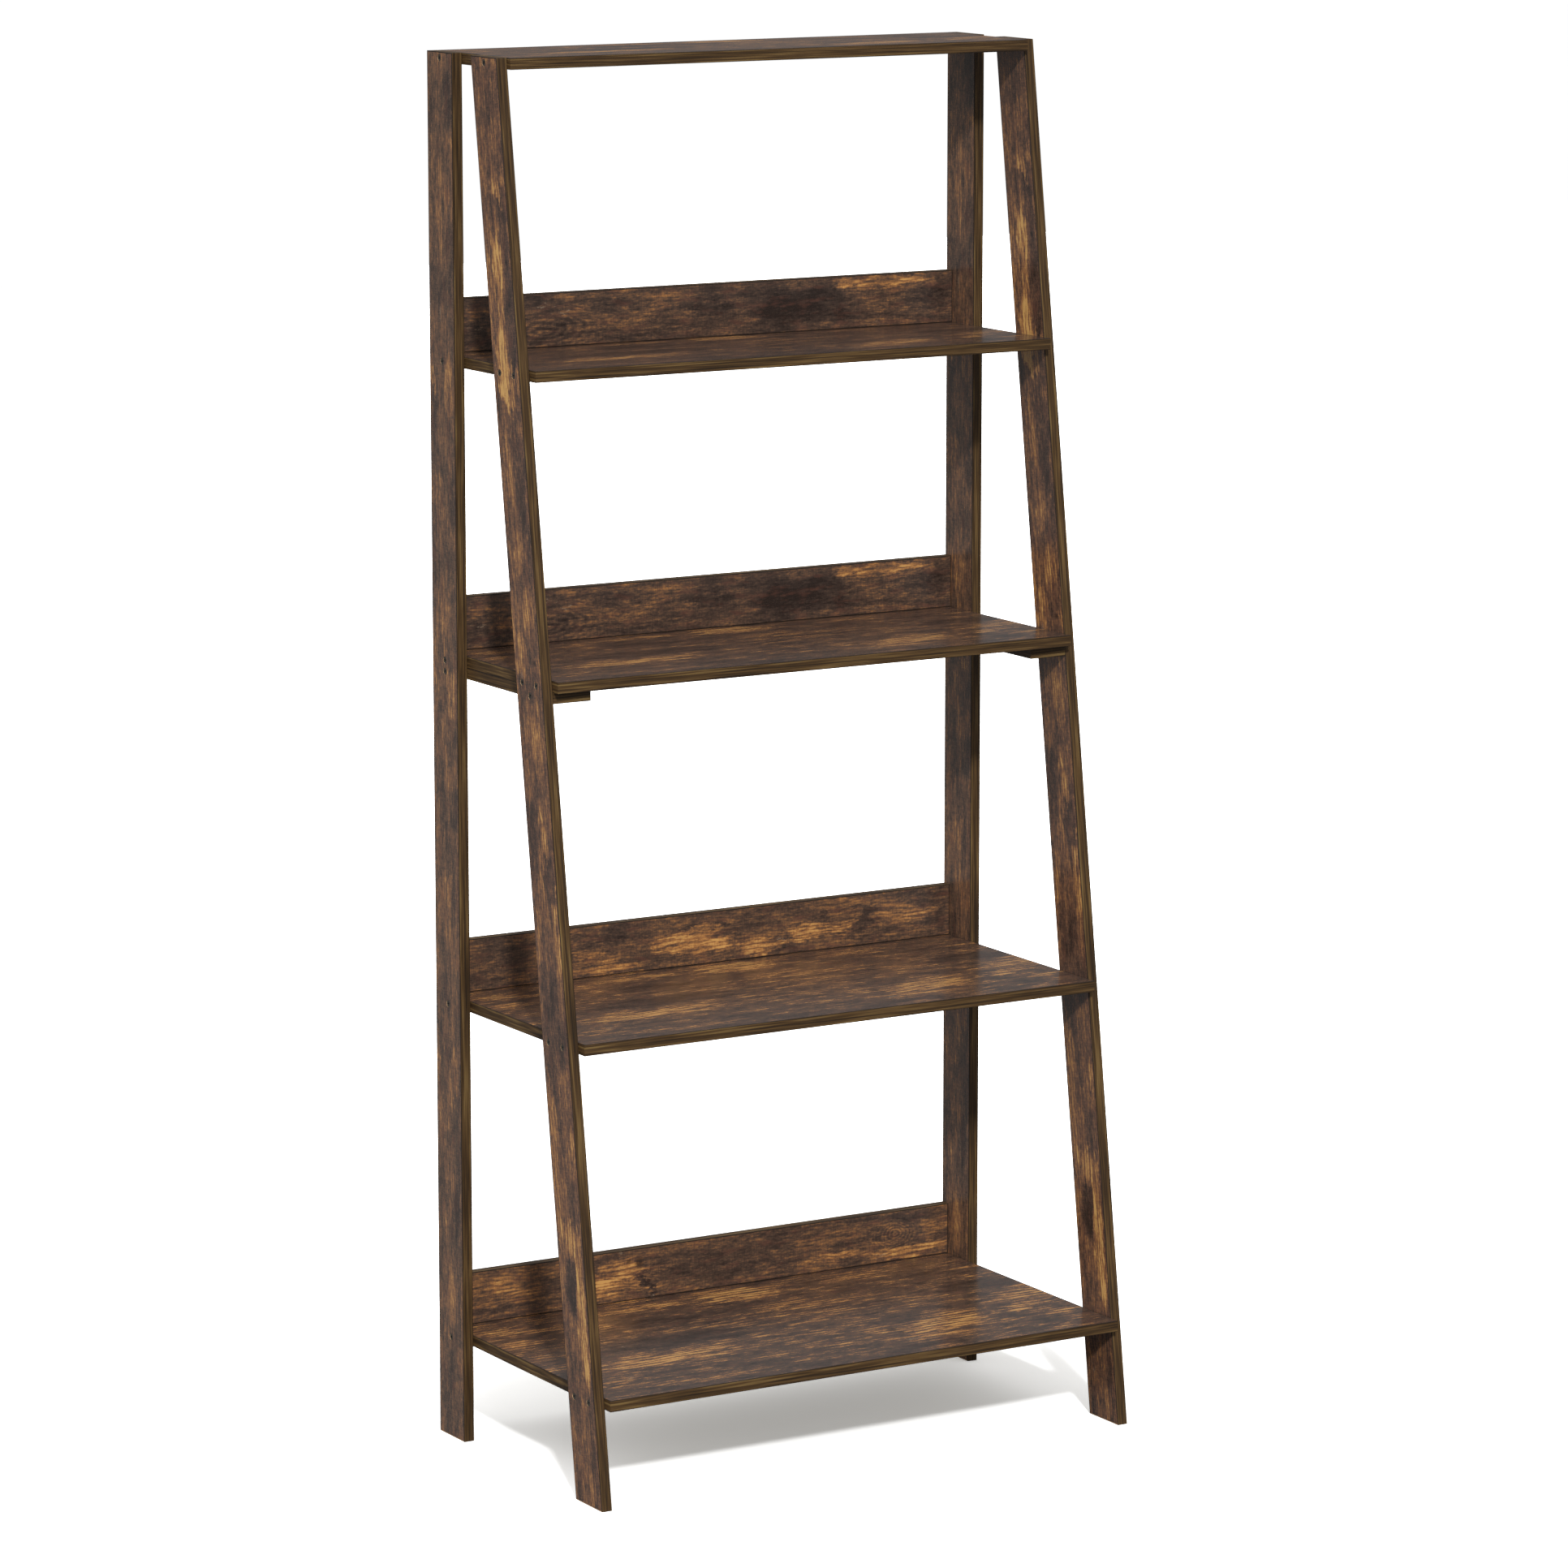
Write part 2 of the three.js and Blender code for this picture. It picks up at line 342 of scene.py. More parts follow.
def banded_board(node, outline, low, high, axes, printed, raw_sides=()):
    """A board from its outline in a plane and its two faces along the third axis, drilled.

    axes names the world axes of the outline's first and second numbers and of the thickness.
    raw_sides are the outline's edges, by number, that have no band.
    """
    # From the print across the glue joint and the band and round the scraped corner. Each pair
    # is the distance below the face and the distance in from the side.
    lip = [(0, BAND + GLUE_JOINT), (GLUE_JOINT_DEPTH, BAND + GLUE_JOINT / 2), (0, BAND)]
    arc = [radians(90 * i / CORNER_STEPS) for i in range(CORNER_STEPS + 1)]
    lip += [(CORNER_R * (1 - math.cos(a)), CORNER_R * (1 - math.sin(a))) for a in arc]
    rings = [(low + d, i) for d, i in lip] + [(high - d, i) for d, i in reversed(lip)]
    bm = bmesh.new()
    made = []
    for height, distance in rings:
        ring = []
        for point in inset([Vector(p) for p in outline], distance):
            place = [0, 0, 0]
            for axis, value in zip(axes, (point.x, point.y, height)):
                place[axis] = value
            ring.append(bm.verts.new(place))
        made.append(ring)
    bm.faces.new(list(reversed(made[0]))).material_index = PRINT
    bm.faces.new(made[-1]).material_index = PRINT
    count = len(outline)
    for step, (lower, upper) in enumerate(zip(made, made[1:])):
        banded = EDGE if step == len(lip) - 1 else CORNER
        for i in range(count):
            j = (i + 1) % count
            face = bm.faces.new([lower[i], lower[j], upper[j], upper[i]])
            face.material_index = RAW if i in raw_sides else banded
    mesh = bpy.data.meshes.new(node + "_board")
    bm.to_mesh(mesh)
    bm.free()
    for finish in (printed, edge_band, scraped_corner_and_painted_shade, raw_board):
        mesh.materials.append(finish)
    board = bpy.data.objects.new(node + "_board", mesh)
    bpy.context.scene.collection.objects.link(board)
    for drill in drills:
        cut = board.modifiers.new(drill.name, "BOOLEAN")
        cut.object = drill
        cut.operation = "DIFFERENCE"
        cut.solver = "EXACT"
        cut.material_mode = "TRANSFER"
    bpy.context.view_layer.update()
    drilled = bpy.data.meshes.new_from_object(board.evaluated_get(bpy.context.evaluated_depsgraph_get()))
    board.modifiers.clear()
    board.data = drilled
    drilled.name = node + "_board"
    return board


def lay_print(board, start, along, across):
    """Stores where each point lies in the print: along and across the grain, and through."""
    through = along.cross(across)
    places = board.data.attributes.new("print_place", "FLOAT_VECTOR", "POINT")
    for item, vertex in zip(places.data, board.data.vertices):
        offset = vertex.co - start
        item.vector = (offset.dot(along), offset.dot(across), offset.dot(through))


def put(board, node):
    """Hands a finished board to the frame in place of its CAD node."""
    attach(board, "root")
    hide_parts(node)


# The band is ABS printed olive brown, satin, with dark and light lines that run round the
# board's edge. The real lines are about 0.8 mm apart and are drawn at 2 to 3 mm, as they would
# be lost otherwise.
BAND_LINES = (110, 110, 2.6)
edge_band, tree = start_material("abs_edge_band_printed_olive")
place = add(tree, "ShaderNodeAttribute", attribute_name="print_place").outputs["Vector"]
drawn_out = add(tree, "ShaderNodeMapping",
                {"Vector": place, "Scale": [1 / (size * MM) for size in BAND_LINES]})
lines = add(tree, "ShaderNodeTexNoise",
            {"Vector": drawn_out, "Scale": 1.0, "Detail": 3.0, "Roughness": 0.62})
tone = add(tree, "ShaderNodeValToRGB", {"Fac": lines},
           stops=[(0.34, "#1f150a"), (0.48, "#3b2a16"), (0.56, "#4d3920"), (0.68, "#6a5532")])
bump = add(tree, "ShaderNodeBump", {"Height": lines, "Distance": 0.05 * MM, "Strength": 0.4})
shader = add(tree, "ShaderNodeBsdfPrincipled",
             {"Base Color": tone, "Roughness": 0.5, "Specular IOR Level": 0.25, "Normal": bump})
add(tree, "ShaderNodeOutputMaterial", {"Surface": shader})

# Scraping bares the band's own plastic, which is darker than its print and a little duller. Its
# near-black colour is also painted shade along the rounded arris, and with the glue joint beside
# it, it draws a thin dark line round every face.
scraped_corner_and_painted_shade, tree = start_material("abs_edge_band_scraped_corner_and_painted_shade")
shader = add(tree, "ShaderNodeBsdfPrincipled",
             {"Base Color": linear("#1b120b"), "Roughness": 0.6, "Specular IOR Level": 0.25})
add(tree, "ShaderNodeOutputMaterial", {"Surface": shader})

# The layers of the wood print: millimetres along and across the grain, octaves, roughness.
# Real pores and fibres are under 0.3 mm wide. The finest layers are drawn at 0.9 to 1.7 mm, as
# they would be lost otherwise.
PRINT_LAYERS = {
    "bleed": (34, 12, 6.0, 0.68),
    "sway": (85, 34, 2.0, 0.68),
    "cloud": (60, 20, 8.0, 0.66),
    "streak": (46, 5, 5.0, 0.62),
    "patch": (15, 6, 5.0, 0.7),
    "mottle": (5, 2.2, 4.0, 0.7),
    "fibre": (13, 0.9, 2.0, 0.6),
    "saw": (1.3, 15, 3.0, 0.6),
    "drift": (28, 9, 4.0, 0.6),
    "check": (20, 1.7, 2.0, 0.6),
}
# How far the bleed pulls a stain along and across the grain, and the sway pulls the rings.
BLEED_REACH = (60 * MM, 17 * MM, 0)
SWAY_REACH = (0, 10 * MM, 0)
# Millimetres through the board. The noise changes slowly, so a board's two faces differ a
# little, and a stain goes right through.
NOISE_THROUGH = 30
RINGS_THROUGH = 300
SPOT_THROUGH = 1000000
# Millimetres from one pale fleck to the next along, across and through.
FLECK_SPACING = (48, 36, 50)
# Blender's wave texture has 3.18 bands to the unit.
WAVE_BANDS = 3.18


def rustic_print(name, seed, stains, tones, base, contrast, rings=(4.4, 0.25), arches=(), knots=()):
    """Melamine printed as reclaimed wood, pressed with a satin plate.

    Stains, growth rings, fibres, saw marks and knots are all in the print, so the surface
    itself stays nearly smooth. Places and sizes are in millimetres from the print's origin:
    stains are (along, across, half length, half width, lightness), arches are nests of growth
    rings (along, across, half length, half width), knots are (along, across, radius), and
    rings are the growth rings' spacing and how dark they are in pale wood. base is the plain
    wood's place on the tones, lowered on some shelves to paint shade, and contrast is how far
    the grain departs from it.
    """
    material, tree = start_material(name)
    place = add(tree, "ShaderNodeAttribute", attribute_name="print_place").outputs["Vector"]
    noise = {}
    for number, (layer, (length, width, octaves, roughness)) in enumerate(PRINT_LAYERS.items()):
        drawn_out = add(tree, "ShaderNodeMapping", {
            "Vector": place,
            "Scale": [1 / (size * MM) for size in (length, width, NOISE_THROUGH)],
            "Location": (seed + number, number, 0),
        })
        noise[layer] = add(tree, "ShaderNodeTexNoise", {
            "Vector": drawn_out, "Scale": 1.0, "Detail": octaves, "Roughness": roughness,
        })
    pulled = {}
    for layer, reach in (("bleed", BLEED_REACH), ("sway", SWAY_REACH)):
        pull = add(tree, "ShaderNodeVectorMath", {
            0: noise[layer].outputs["Color"], 1: Vector(reach) * 2, 2: -Vector(reach),
        }, operation="MULTIPLY_ADD")
        pulled[layer] = add(tree, "ShaderNodeVectorMath", {0: place, 1: pull}, operation="ADD")

    # Stains bleed along the grain in streaks, so their outlines are ragged.
    stained = 0.0
    for along, across, half_length, half_width, lightness in stains:
        spot = add(tree, "ShaderNodeMapping", {
            "Vector": pulled["bleed"],
            "Location": (along * MM, across * MM, 0),
            "Scale": (half_length * MM, half_width * MM, SPOT_THROUGH * MM),
        }, vector_type="TEXTURE")
        cone = add(tree, "ShaderNodeTexGradient", {"Vector": spot}, gradient_type="SPHERICAL")
        soft = add(tree, "ShaderNodeMapRange", {"Value": cone.outputs["Fac"], "From Max": 0.5},
                   interpolation_type="SMOOTHSTEP")
        stained = add(tree, "ShaderNodeMath", {0: soft, 1: lightness, 2: stained},
                      operation="MULTIPLY_ADD")
    ragged = add(tree, "ShaderNodeMath", {0: noise["streak"], 1: 4.0, 2: -1.0},
                 operation="MULTIPLY_ADD")
    tone = add(tree, "ShaderNodeMath", {0: stained, 1: ragged, 2: base}, operation="MULTIPLY_ADD")
    for layer, amount in (("cloud", 1.25), ("streak", 0.7), ("patch", 0.9)):
        centred = add(tree, "ShaderNodeMath", {0: noise[layer], 1: 0.5}, operation="SUBTRACT")
        tone = add(tree, "ShaderNodeMath", {0: centred, 1: amount * contrast, 2: tone},
                   operation="MULTIPLY_ADD")

    # Growth rings wander along the board as thin dark lines, and show most in pale wood.
    spacing, darkness = rings
    band_unit = WAVE_BANDS * spacing
    swayed = add(tree, "ShaderNodeMapping", {
        "Vector": pulled["sway"],
        "Scale": [1 / (size * MM) for size in (3 * band_unit, band_unit, RINGS_THROUGH)],
        "Location": (0, seed, 0),
    })
    bands = add(tree, "ShaderNodeTexWave", {
        "Vector": swayed, "Scale": 1.0, "Distortion": 1.2, "Detail": 4.0, "Detail Scale": 1.0,
        "Detail Roughness": 0.65,
    }, bands_direction="Y")
    strength = add(tree, "ShaderNodeMapRange", {
        "Value": tone, "From Min": 0.40, "From Max": 0.72, "To Min": 0.05, "To Max": darkness,
    })
    thin = add(tree, "ShaderNodeMath", {0: bands.outputs["Fac"], 1: 3.0}, operation="POWER")
    centred = add(tree, "ShaderNodeMath", {0: 0.28, 1: thin}, operation="SUBTRACT")
    tone = add(tree, "ShaderNodeMath", {0: centred, 1: strength, 2: tone}, operation="MULTIPLY_ADD")
    for along, across, half_length, half_width in arches:
        spot = add(tree, "ShaderNodeMapping", {
            "Vector": pulled["sway"],
            "Location": (along * MM, across * MM, 0),
            "Scale": (half_length * MM, half_width * MM, SPOT_THROUGH * MM),
        }, vector_type="TEXTURE")
        ovals = add(tree, "ShaderNodeTexWave",
                    {"Vector": spot, "Scale": 2.6, "Distortion": 3.5, "Detail": 3.0},
                    wave_type="RINGS", rings_direction="SPHERICAL")
        near = add(tree, "ShaderNodeTexGradient", {"Vector": spot}, gradient_type="SPHERICAL")
        centred = add(tree, "ShaderNodeMath", {0: ovals.outputs["Fac"], 1: 0.6}, operation="SUBTRACT")
        faded = add(tree, "ShaderNodeMath", {0: centred, 1: near.outputs["Fac"]}, operation="MULTIPLY")
        tone = add(tree, "ShaderNodeMath", {0: faded, 1: 0.26, 2: tone}, operation="MULTIPLY_ADD")

    # Fibres and a mottle run with the grain, and faint saw marks run across it.
    for layer, amount in (("fibre", 0.35), ("mottle", 0.8), ("saw", 0.3)):
        centred = add(tree, "ShaderNodeMath", {0: noise[layer], 1: 0.5}, operation="SUBTRACT")
        tone = add(tree, "ShaderNodeMath", {0: centred, 1: amount, 2: tone}, operation="MULTIPLY_ADD")
    colour = add(tree, "ShaderNodeValToRGB", {"Fac": tone}, stops=tones)

    # The stain drifts towards red in places, dark checks follow the grain, knots are nearly
    # black, and there are a few pale flecks of old filler, one or two to the palm.
    tints = [
        ("#5c3a2e", noise["drift"], 0.52, 0.72, 0.5),
        ("#221a16", noise["check"], 0.66, 0.74, 0.55),
    ]
    for along, across, radius in knots:
        spot = add(tree, "ShaderNodeMapping", {
            "Vector": pulled["sway"],
            "Location": (along * MM, across * MM, 0),
            "Scale": (radius * MM, radius * MM, SPOT_THROUGH * MM),
        }, vector_type="TEXTURE")
        cone = add(tree, "ShaderNodeTexGradient", {"Vector": spot}, gradient_type="SPHERICAL")
        tints.append(("#231b18", cone.outputs["Fac"], 0.0, 0.6, 0.75))
    spread_out = add(tree, "ShaderNodeMapping", {
        "Vector": pulled["bleed"],
        "Scale": [1 / (size * MM) for size in FLECK_SPACING],
        "Location": (0, seed, 0),
    })
    cells = add(tree, "ShaderNodeTexVoronoi", {"Vector": spread_out, "Scale": 1.0})
    tints.append(("#8f7d68", cells.outputs["Distance"], 0.07, 0.03, 0.5))
    for tint, pattern, least, most, strength in tints:
        amount = add(tree, "ShaderNodeMapRange",
                     {"Value": pattern, "From Min": least, "From Max": most, "To Max": strength})
        # Sockets 0, 6 and 7 are the mix's amount and two colours, and 2 is its colour out.
        mixed = add(tree, "ShaderNodeMix", {0: amount, 6: colour, 7: linear(tint)}, data_type="RGBA")
        colour = mixed.outputs[2]

    bump = add(tree, "ShaderNodeBump",
               {"Height": noise["fibre"], "Distance": 0.04 * MM, "Strength": 0.5})
    sheen = add(tree, "ShaderNodeMapRange", {"Value": noise["fibre"], "To Min": 0.17, "To Max": 0.3})
    shader = add(tree, "ShaderNodeBsdfPrincipled",
                 {"Base Color": colour, "Roughness": sheen, "Specular IOR Level": 0.5, "Normal": bump})
    add(tree, "ShaderNodeOutputMaterial", {"Surface": shader})
    return material


UPRIGHT_TONES = [
    (0.00, "#2a211d"), (0.25, "#3f322b"), (0.42, "#564235"), (0.56, "#6e503c"),
    (0.70, "#865f3f"), (0.84, "#9e7347"), (1.00, "#b58b55"),
]
upright_print = rustic_print(
    "melamine_rustic_print_upright", seed=3.7,
    stains=[
        (1425, 11, 36, 10, -0.16), (1320, 23, 45, 20, 0.10), (1360, 47, 30, 7, 0.14),
        (1225, 27, 60, 30, -0.05), (1143, 49, 16, 9, 0.24), (1133, 15, 44, 14, 0.24),
        (1080, 43, 50, 9, -0.08), (1025, 33, 12, 10, 0.14), (1004, 9, 26, 9, -0.18),
        (892, 25, 44, 20, 0.12), (825, 49, 12, 9, 0.24), (810, 15, 30, 12, 0.26),
        (690, 11, 36, 10, -0.16), (745, 25, 50, 20, 0.04), (572, 25, 44, 20, 0.12),
        (495, 41, 50, 14, -0.06), (413, 50, 18, 8, 0.24), (400, 16, 42, 13, 0.24),
        (283, 31, 20, 12, 0.12), (255, 11, 34, 10, -0.17), (145, 25, 44, 20, 0.12),
        (40, 27, 60, 28, -0.06),
    ],
    tones=UPRIGHT_TONES, base=0.43, contrast=0.9,
)
for side in ("left", "right"):
    node = f"{side}_rear_upright"
    low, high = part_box(node)
    outline = [(low.y, low.z), (high.y, low.z), (high.y, high.z), (low.y, high.z)]
    board = banded_board(node, outline, low.x, high.x, (1, 2, 0), upright_print, raw_sides=(0,))
    lay_print(board, low, Vector((0, 0, 1)), Vector((0, 1, 0)))
    put(board, node)

# ---------------------------------------------------------------- front legs
# Two strips of the same banded board that slope forward to the floor, with both ends cut
# level. The shelves are screwed to them through the face. Their print is warmer than the
# uprights' and runs with the slope.
leg_low, leg_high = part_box("left_front_leg")
leg_points = [v.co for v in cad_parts["left_front_leg"].data.vertices]
foot_back = max(p.y for p in leg_points if p.z < leg_low.z + MM)
top_front = min(p.y for p in leg_points if p.z > leg_high.z - MM)
LEG_SLOPE = math.atan2(top_front - leg_low.y, leg_high.z - leg_low.z)
UP_THE_LEG = Vector((0, math.sin(LEG_SLOPE), math.cos(LEG_SLOPE)))
ACROSS_THE_LEG = Vector((0, math.cos(LEG_SLOPE), -math.sin(LEG_SLOPE)))
LEG_TONES = [
    (0.00, "#2a201b"), (0.25, "#413129"), (0.42, "#5b4234"), (0.56, "#77533a"),
    (0.70, "#90663f"), (0.84, "#a87a48"), (1.00, "#be9458"),
]
leg_print = rustic_print(
    "melamine_rustic_print_leg", seed=8.2,
    stains=[
        (1367, 17, 14, 20, 0.18), (1345, 15, 16, 15, -0.16), (1280, 31, 54, 13, 0.30),
        (1190, 35, 52, 15, 0.34), (1163, 23, 24, 26, 0.30), (1230, 8, 66, 13, -0.20),
        (1075, 13, 80, 21, -0.15), (1080, 39, 50, 11, 0.12), (980, 35, 22, 17, 0.14),
        (935, 15, 30, 17, 0.12), (887, 45, 32, 13, 0.26), (890, 14, 26, 7, -0.20),
        (800, 17, 52, 18, 0.12), (710, 41, 34, 14, -0.20), (693, 22, 30, 13, 0.24),
        (655, 17, 26, 15, -0.18), (597, 5, 54, 9, 0.30), (540, 33, 42, 24, -0.16),
        (485, 27, 60, 30, -0.14), (385, 43, 75, 10, 0.12), (365, 12, 34, 13, 0.16),
        (277, 25, 28, 24, 0.24), (233, 30, 34, 16, -0.24), (185, 12, 80, 13, 0.34),
        (95, 41, 44, 14, -0.12), (65, 15, 55, 18, 0.06),
    ],
    tones=LEG_TONES, base=0.44, contrast=1.0, rings=(5, 0.3),
    knots=[(1287, 11, 4), (1243, 12, 3), (877, 15, 4), (1185, 13, 3)],
)
for side in ("left", "right"):
    node = f"{side}_front_leg"
    low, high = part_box(node)
    outline = [(low.y, low.z), (foot_back, low.z), (high.y, high.z), (top_front, high.z)]
    board = banded_board(node, outline, low.x, high.x, (1, 2, 0), leg_print, raw_sides=(0,))
    lay_print(board, low, UP_THE_LEG, ACROSS_THE_LEG)
    put(board, node)

# ---------------------------------------------------------------- shelves
# Five level boards, banded all round and screwed between the side frames, each deeper than the
# one above. All carry the same print, drawn to each board's own depth. The middle and upper ones
# are drawn a little darker than the rest, and that darkening is painted shade, as the boards
# themselves are alike.
WARM_TONES = [
    (0.00, "#241b17"), (0.25, "#372b25"), (0.42, "#4b392e"), (0.56, "#654833"),
    (0.70, "#825a37"), (0.84, "#9d6d3f"), (1.00, "#b6894f"),
]
# The places below are for a print as deep as the bottom shelf.
low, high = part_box("bottom_shelf")
PRINT_DEPTH = (high - low).y
# The lower bases of the middle and upper shelves are painted shade.
SHELF_BASES_WITH_PAINTED_SHADE = {"bottom": 0.43, "lower": 0.42, "middle": 0.37, "upper": 0.32, "top": 0.43}
SHELF_STAINS = [
    (325, 50, 64, 26, 0.34), (215, 46, 72, 18, 0.26), (205, 22, 40, 9, 0.16),
    (215, 102, 95, 26, -0.20), (490, 88, 125, 20, -0.12), (465, 50, 45, 16, 0.08),
    (375, 126, 85, 16, 0.12), (360, 160, 65, 16, 0.10), (580, 150, 66, 24, -0.20),
    (175, 180, 105, 38, -0.22), (605, 214, 56, 42, 0.24), (140, 238, 105, 28, 0.32),
    (285, 246, 60, 12, 0.08), (458, 266, 70, 34, 0.34), (562, 256, 30, 17, 0.30),
    (604, 284, 32, 9, 0.22), (315, 290, 36, 14, 0.18), (350, 306, 34, 15, -0.14),
    (240, 306, 60, 18, -0.14), (430, 308, 48, 13, 0.16), (313, 342, 330, 14, -0.10),
    (35, 62, 32, 16, 0.16), (30, 115, 30, 24, 0.08), (35, 290, 34, 18, 0.08),
    (560, 18, 90, 12, -0.08),
]
SHELF_KNOTS = [(398, 262, 9), (402, 276, 5), (162, 78, 5), (268, 14, 6)]
shelf_prints_with_painted_shade = {}
for name, base in SHELF_BASES_WITH_PAINTED_SHADE.items():
    node = f"{name}_shelf"
    shelf_prints_with_painted_shade[name] = rustic_print(
        f"melamine_rustic_print_{name}_shelf", seed=1.3, stains=SHELF_STAINS, tones=WARM_TONES,
        base=base, contrast=1.25, rings=(8, 0.55), knots=SHELF_KNOTS,
    )
    low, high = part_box(node)
    outline = [(low.x, low.y), (high.x, low.y), (high.x, high.y), (low.x, high.y)]
    board = banded_board(node, outline, low.z, high.z, (0, 1, 2), shelf_prints_with_painted_shade[name])
    stretch = PRINT_DEPTH / (high.y - low.y)
    lay_print(board, Vector((low.x, high.y, high.z)), Vector((1, 0, 0)), Vector((0, -stretch, 0)))
    put(board, node)

# ---------------------------------------------------------------- back rails
# Four strips of the same board on edge at the backs of the lower shelves, held between the rear
# uprights by glued dowels. The two upper ones carry one print, with arched grain near the left.
RAIL_LOOKS = {
    "upper": dict(seed=5.1, base=0.37, arches=[(118, 19, 100, 34)], knots=[(475, 45, 4)]),
    "lower": dict(seed=9.4, base=0.45, knots=[(62, 24, 2)]),
    "bottom": dict(seed=12.6, base=0.45, arches=[(556, 31, 40, 26)], knots=[(228, 40, 7), (215, 44, 4)]),
}
RAIL_STAINS = {
    "upper": [
        (70, 22, 50, 9, 0.00), (33, 42, 16, 12, 0.16), (210, 28, 60, 10, 0.10),
        (200, 12, 110, 10, 0.08), (190, 50, 100, 7, 0.10), (318, 30, 34, 10, -0.20),
        (430, 28, 84, 32, -0.24), (425, 26, 50, 22, -0.10), (540, 49, 76, 8, 0.26),
        (552, 34, 10, 22, 0.14), (608, 28, 20, 26, -0.14), (530, 14, 50, 12, 0.05),
    ],
    "lower": [
        (55, 36, 45, 22, -0.08), (200, 46, 66, 14, -0.18), (168, 23, 28, 7, 0.20),
        (190, 6, 56, 6, 0.18), (300, 25, 60, 18, 0.36), (380, 13, 38, 9, 0.28),
        (455, 21, 64, 10, 0.32), (300, 44, 18, 5, -0.22), (336, 43, 12, 6, -0.20),
        (460, 39, 10, 7, -0.24), (516, 30, 17, 22, -0.16), (370, 52, 120, 7, -0.08),
        (565, 30, 40, 15, 0.12), (612, 28, 16, 28, -0.10),
    ],
    "bottom": [
        (60, 28, 55, 22, 0.10), (42, 42, 26, 7, 0.12), (200, 26, 44, 27, 0.26),
        (236, 20, 11, 20, -0.30), (330, 30, 95, 28, -0.16), (470, 14, 62, 7, 0.18),
        (570, 11, 66, 8, 0.30), (528, 32, 20, 6, -0.20), (604, 34, 24, 18, 0.12),
        (545, 52, 95, 6, -0.10),
    ],
}
rail_prints = {}
for name, looks in RAIL_LOOKS.items():
    rail_prints[name] = rustic_print(
        f"melamine_rustic_print_{name}_rail", stains=RAIL_STAINS[name], tones=WARM_TONES,
        contrast=0.85, **looks
    )
rail_prints["middle"] = rail_prints["upper"]
for name, printed in rail_prints.items():
    node = f"{name}_back_rail"
    low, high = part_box(node)
    outline = [(low.z, low.x), (high.z, low.x), (high.z, high.x), (low.z, high.x)]
    board = banded_board(node, outline, low.y, high.y, (2, 0, 1), printed)
    lay_print(board, low, Vector((1, 0, 0)), Vector((0, 0, 1)))
    put(board, node)

# ---------------------------------------------------------------- cleats
# Two short strips of the same board that lie flat under the ends of the middle shelf and carry
# it, screwed on through the legs and uprights. Their grain runs from front to back.
for side in ("left", "right"):
    node = f"{side}_cleat"
    low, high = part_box(node)
    outline = [(low.x, low.y), (high.x, low.y), (high.x, high.y), (low.x, high.y)]
    board = banded_board(node, outline, low.z, high.z, (0, 1, 2), shelf_prints_with_painted_shade["bottom"])
    lay_print(board, low, Vector((0, 1, 0)), Vector((1, 0, 0)))
    put(board, node)

# ---------------------------------------------------------------- screws
# Countersunk wood screws, 3.5 x 35 mm, cross-headed, driven flush through the legs into the
# edges of the shelves and cleats. Cold-headed and rolled steel with a dull dark plating.
THREAD_PITCH = 1.6 * MM
CORE_R = 1.2 * MM
THREAD_STEPS = 5
SCREW_SIDES = 14
POINT_LENGTH = 5 * MM
PLAIN_SHANK = 3 * MM
RECESS_SLOT = 0.9 * MM
RECESS_LENGTH = 4.2 * MM
RECESS_DEPTH = 1.5 * MM
BLOTCH = 1.5 * MM


def screw_mesh():
    """A screw from its point up. Each ring's crest lies a little further round than the last's."""
    bottom, top = -SCREW_LENGTH, -HEAD_DEPTH - PLAIN_SHANK
    steps = round((top - bottom) / THREAD_PITCH * THREAD_STEPS)
    turn = [2 * math.pi * i / SCREW_SIDES for i in range(SCREW_SIDES)]
    bm = bmesh.new()
    tip = bm.verts.new((0, 0, bottom))
    rings = []
    for k in range(1, steps + 1):
        height = bottom + (top - bottom) * k / steps
        taper = min(1, (height - bottom) / POINT_LENGTH)
        fade = min(1, (top - height) / THREAD_PITCH)
        ring = []
        for i, angle in enumerate(turn):
            phase = ((height - bottom) / THREAD_PITCH - i / SCREW_SIDES) % 1
            # The ridge takes up the middle half of each pitch.
            crest = max(0, 1 - abs(phase - 0.5) * 4) * fade
            radius = (CORE_R + (SHANK_R - CORE_R) * crest) * taper
            ring.append(bm.verts.new((radius * math.cos(angle), radius * math.sin(angle), height)))
        rings.append(ring)
    for radius, height in ((CORE_R, -HEAD_DEPTH), (HEAD_R, -HEAD_LAND), (HEAD_R, 0)):
        rings.append([bm.verts.new((radius * math.cos(a), radius * math.sin(a), height)) for a in turn])
    for i in range(SCREW_SIDES):
        bm.faces.new([tip, rings[0][(i + 1) % SCREW_SIDES], rings[0][i]])
    for lower, upper in zip(rings, rings[1:]):
        for i in range(SCREW_SIDES):
            j = (i + 1) % SCREW_SIDES
            bm.faces.new([lower[i], lower[j], upper[j], upper[i]])
    bm.faces.new(rings[-1])
    mesh = bpy.data.meshes.new("screw")
    bm.to_mesh(mesh)
    bm.free()
    return mesh


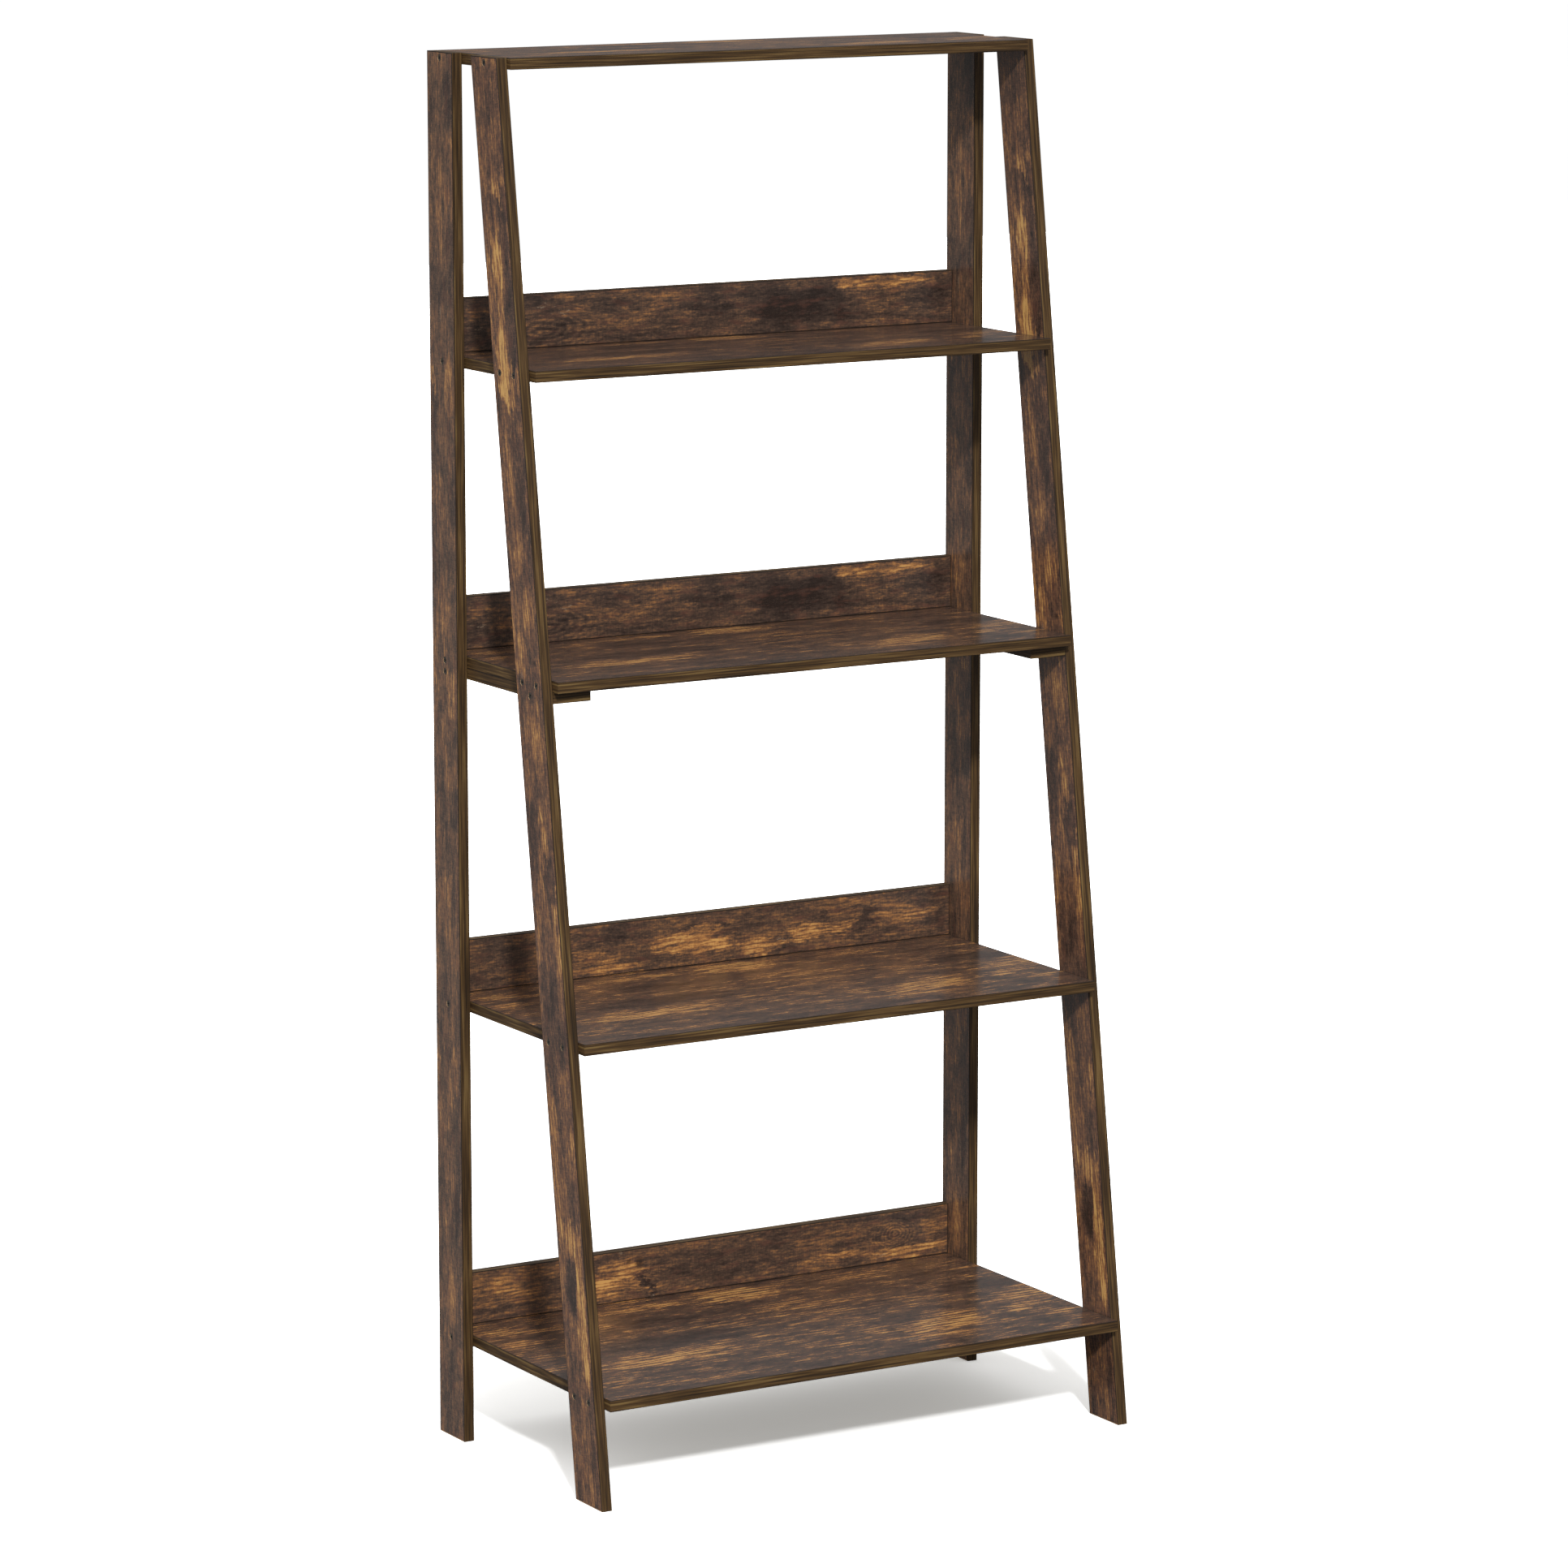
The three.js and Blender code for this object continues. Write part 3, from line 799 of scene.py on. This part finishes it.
def cross_recess(mesh):
    """Cuts a cross-shaped drive recess into the head, with a boolean."""
    bm = bmesh.new()
    for width, length in ((RECESS_SLOT, RECESS_LENGTH), (RECESS_LENGTH, RECESS_SLOT)):
        arm = bmesh.ops.create_cube(bm, size=1)["verts"]
        bmesh.ops.scale(bm, verts=arm, vec=(width, length, 2 * RECESS_DEPTH))
    cross = bpy.data.meshes.new("cross")
    bm.to_mesh(cross)
    bm.free()
    head = bpy.data.objects.new("head", mesh)
    driver = bpy.data.objects.new("driver", cross)
    for made in (head, driver):
        bpy.context.scene.collection.objects.link(made)
    cut = head.modifiers.new("recess", "BOOLEAN")
    cut.object = driver
    cut.operation = "DIFFERENCE"
    cut.solver = "EXACT"
    cut.use_self = True
    bpy.context.view_layer.update()
    result = bpy.data.meshes.new_from_object(head.evaluated_get(bpy.context.evaluated_depsgraph_get()))
    bpy.data.objects.remove(head)
    bpy.data.objects.remove(driver)
    return result


# Plated steel, darkened by oil: dull patches of about 1.5 mm over a metal sheen.
screw_steel, tree = start_material("steel_screw_dull_dark_zinc")
where = add(tree, "ShaderNodeTexCoord").outputs["Object"]
blotch = add(tree, "ShaderNodeTexNoise", {"Vector": where, "Scale": 1 / BLOTCH})
worn = add(tree, "ShaderNodeMapRange", {"Value": blotch, "To Min": 0.3, "To Max": 0.5})
shader = add(tree, "ShaderNodeBsdfPrincipled",
             {"Base Color": linear("#6b6660"), "Metallic": 1.0, "Roughness": worn})
add(tree, "ShaderNodeOutputMaterial", {"Surface": shader})
screws = placed("countersunk_screws", cross_recess(screw_mesh()), screw_places(), screw_steel,
                spin=math.pi, seed=4)
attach(screws, "root")
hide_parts(*SCREW_NAMES)

# ---------------------------------------------------------------- dowels
# Fluted beech dowels, 6 x 24 mm, glued into the rail ends and the uprights. The flutes let
# glue and air out of the bore. They are hidden once the shelf is together.
DOWEL_SIDES = 36
FLUTES = 12
FLUTE_DEPTH = 0.18 * MM
CHAMFER = 0.8 * MM


def dowel_mesh():
    """A dowel about Z, fluted all along and chamfered at both ends."""
    bm = bmesh.new()
    rings = []
    for shrink, height in (
        (CHAMFER, -DOWEL_HALF),
        (0, CHAMFER - DOWEL_HALF),
        (0, DOWEL_HALF - CHAMFER),
        (CHAMFER, DOWEL_HALF),
    ):
        ring = []
        for i in range(DOWEL_SIDES):
            angle = 2 * math.pi * i / DOWEL_SIDES
            groove = FLUTE_DEPTH * (1 - math.cos(FLUTES * angle)) / 2
            radius = DOWEL_R - shrink - groove
            ring.append(bm.verts.new((radius * math.cos(angle), radius * math.sin(angle), height)))
        rings.append(ring)
    bm.faces.new(list(reversed(rings[0])))
    bm.faces.new(rings[-1])
    for lower, upper in zip(rings, rings[1:]):
        for i in range(DOWEL_SIDES):
            j = (i + 1) % DOWEL_SIDES
            bm.faces.new([lower[i], lower[j], upper[j], upper[i]])
    mesh = bpy.data.meshes.new("dowel")
    bm.to_mesh(mesh)
    bm.free()
    return mesh


# Pale straight-grained wood, with fibres along the dowel, which lies along X.
BEECH_FIBRE = (8, 0.6, 0.6)
beech, tree = start_material("beech_dowel_pressed")
where = add(tree, "ShaderNodeTexCoord").outputs["Object"]
drawn_out = add(tree, "ShaderNodeMapping",
                {"Vector": where, "Scale": [1 / (size * MM) for size in BEECH_FIBRE]})
fibre = add(tree, "ShaderNodeTexNoise", {"Vector": drawn_out, "Scale": 1.0, "Detail": 3.0})
tone = add(tree, "ShaderNodeValToRGB", {"Fac": fibre}, stops=[(0, "#b98d5e"), (1, "#e0bf93")])
shader = add(tree, "ShaderNodeBsdfPrincipled", {"Base Color": tone, "Roughness": 0.75})
add(tree, "ShaderNodeOutputMaterial", {"Surface": shader})
dowels = placed("rail_dowels", dowel_mesh(), dowel_places(), beech, spin=math.pi, seed=9)
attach(dowels, "root")
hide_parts(*DOWEL_NAMES)

# The drills have done their work.
for drill in drills:
    bpy.data.objects.remove(drill)
